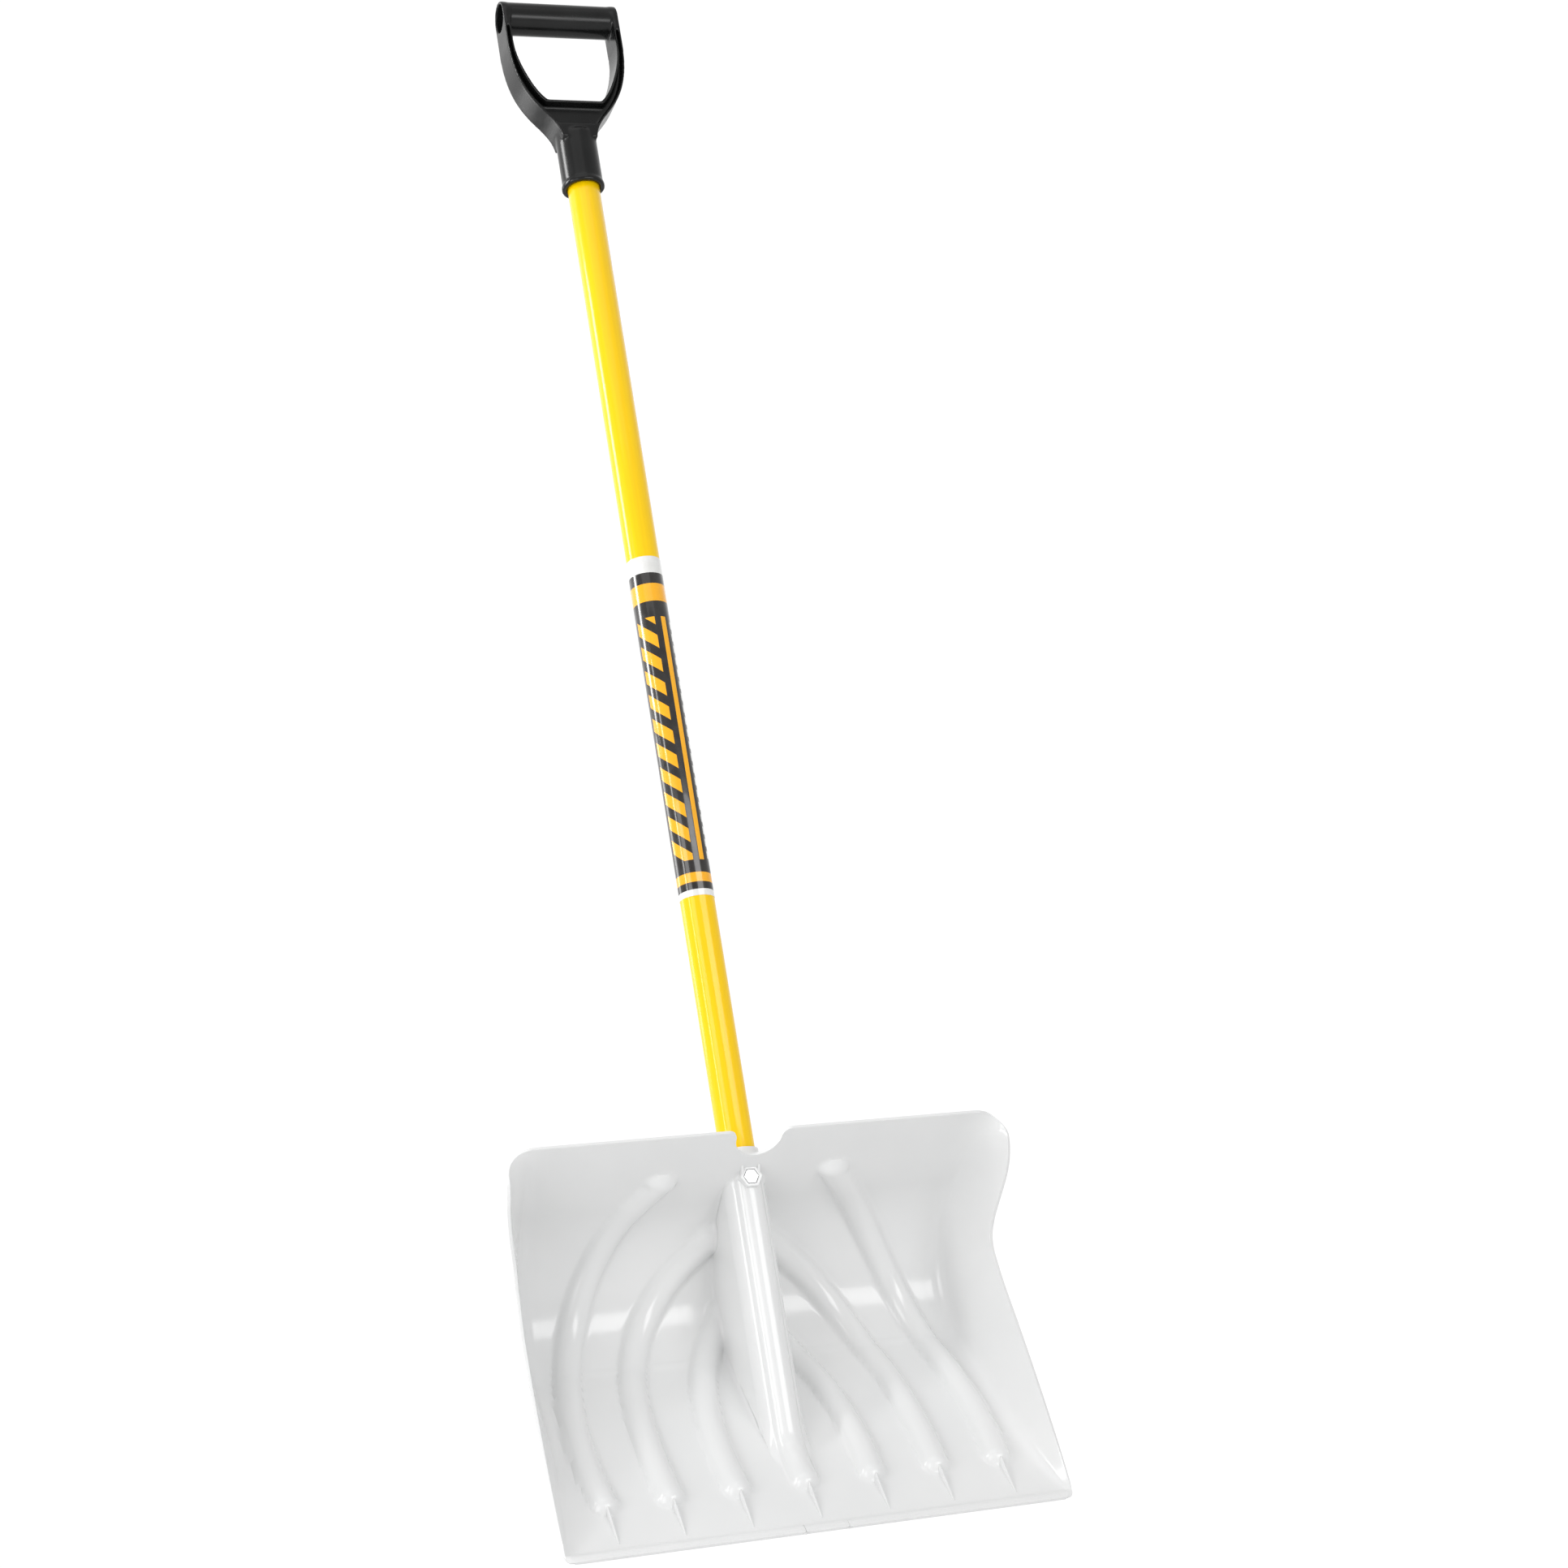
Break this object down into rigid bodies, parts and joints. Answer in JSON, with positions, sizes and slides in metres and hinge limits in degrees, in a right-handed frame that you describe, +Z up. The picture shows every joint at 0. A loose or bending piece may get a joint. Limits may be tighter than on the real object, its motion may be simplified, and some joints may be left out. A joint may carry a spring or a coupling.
{
  "type": "snow shovel",
  "caption": "Snow shovel with a wide ribbed white scoop, a straight yellow tube handle and a black D-shaped hand grip.",
  "frame": {"origin": "middle of the scoop's lower edge", "axes": "+Z up along the handle, -Y the side that the scoop opens to, +X to the right as seen from that side"},
  "size_m": [0.4626, 0.1471, 1.531],
  "materials": {
    "scoop_plastic": "glossy moulded polypropylene, off white",
    "handle_coat": "glossy yellow glass-fibre tube",
    "label_film": "glossy printed film, black with white and orange bands",
    "grip_plastic": "semi-gloss moulded black plastic",
    "zinc_steel": "bright zinc plate",
    "dark_steel": "black phosphate"
  },
  "bodies": {
    "root": {"scoop": "scoop_plastic", "handle_tube": "handle_coat", "label_sleeve": "label_film", "d_grip": "grip_plastic", "scoop_bolt": "zinc_steel", "bolt_washer": "zinc_steel", "lock_nut": "zinc_steel", "grip_screw": "dark_steel"}
  },
  "joints": []
}
